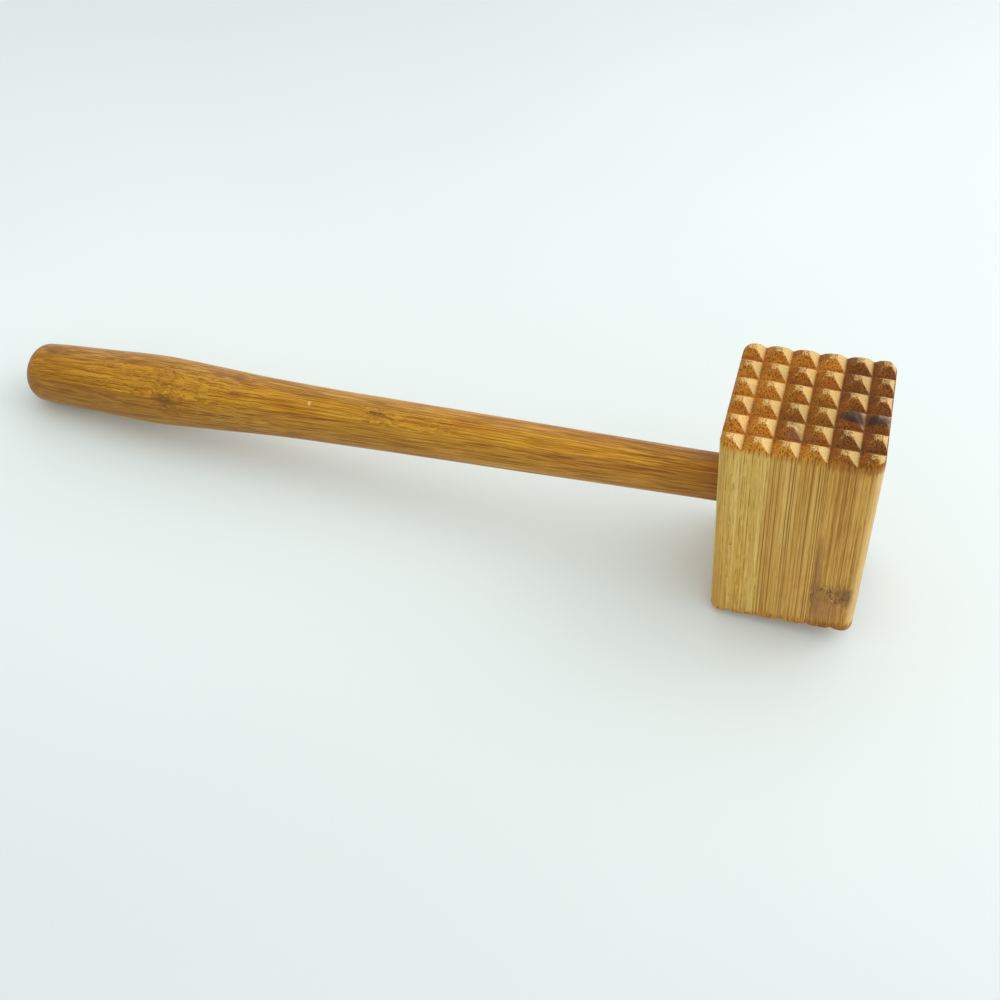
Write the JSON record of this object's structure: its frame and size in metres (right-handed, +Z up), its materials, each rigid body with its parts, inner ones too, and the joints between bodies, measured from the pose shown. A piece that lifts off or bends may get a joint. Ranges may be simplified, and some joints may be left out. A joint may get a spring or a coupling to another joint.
{
  "type": "meat mallet",
  "caption": "Laminated bamboo meat mallet: square block head with pyramid teeth on both striking ends and a turned handle with a swelling grip glued into its side.",
  "frame": {"origin": "on the table, under the middle of the whole mallet's box as it lies at rest", "axes": "+Z up from the table, +X from the grip towards the head, +Y across the handle away from the front ply. The mallet lies tipped back about 6.7 degrees, on the lower handle-side tooth tips and the end of the grip"},
  "size_m": [0.363, 0.057, 0.1001],
  "materials": {
    "bamboo_pale": "pale straw strip, sanded satin",
    "bamboo_honey": "honey strip, sanded satin",
    "bamboo_tan": "tan strip, sanded satin",
    "bamboo_brown": "darker carbonised strip, sanded satin",
    "bamboo_stained": "strip with a dark growth stain, sanded satin",
    "handle_gold": "golden turned strip, oiled satin",
    "handle_tan": "tan turned strip, oiled satin",
    "handle_brown": "brown turned strip, oiled satin"
  },
  "bodies": {
    "root": {"head_ply_1_left": "bamboo_pale", "head_ply_1_middle": "bamboo_honey", "head_ply_1_right": "bamboo_tan", "head_ply_2_left": "bamboo_honey", "head_ply_2_middle": "bamboo_tan", "head_ply_2_right": "bamboo_brown", "head_ply_3_left": "bamboo_honey", "head_ply_3_middle": "bamboo_tan", "head_ply_3_right": "bamboo_brown", "head_ply_4_left": "bamboo_honey", "head_ply_4_middle": "bamboo_tan", "head_ply_4_right": "bamboo_stained", "head_ply_5_left": "bamboo_honey", "head_ply_5_middle": "bamboo_tan", "head_ply_5_right": "bamboo_brown", "head_ply_6_left": "bamboo_honey", "head_ply_6_middle": "bamboo_tan", "head_ply_6_right": "bamboo_brown", "head_ply_7_left": "bamboo_honey", "head_ply_7_middle": "bamboo_tan", "head_ply_7_right": "bamboo_brown", "head_ply_8_left": "bamboo_honey", "head_ply_8_middle": "bamboo_honey", "head_ply_8_right": "bamboo_brown", "head_ply_9_left": "bamboo_honey", "head_ply_9_middle": "bamboo_tan", "head_ply_9_right": "bamboo_brown", "handle_ply_1_front": "handle_gold", "handle_ply_1_back": "handle_tan", "handle_ply_2_front": "handle_brown", "handle_ply_2_back": "handle_tan", "handle_ply_3_front": "handle_brown", "handle_ply_3_back": "handle_tan", "handle_ply_4_front": "handle_tan", "handle_ply_4_back": "handle_brown"}
  },
  "joints": []
}
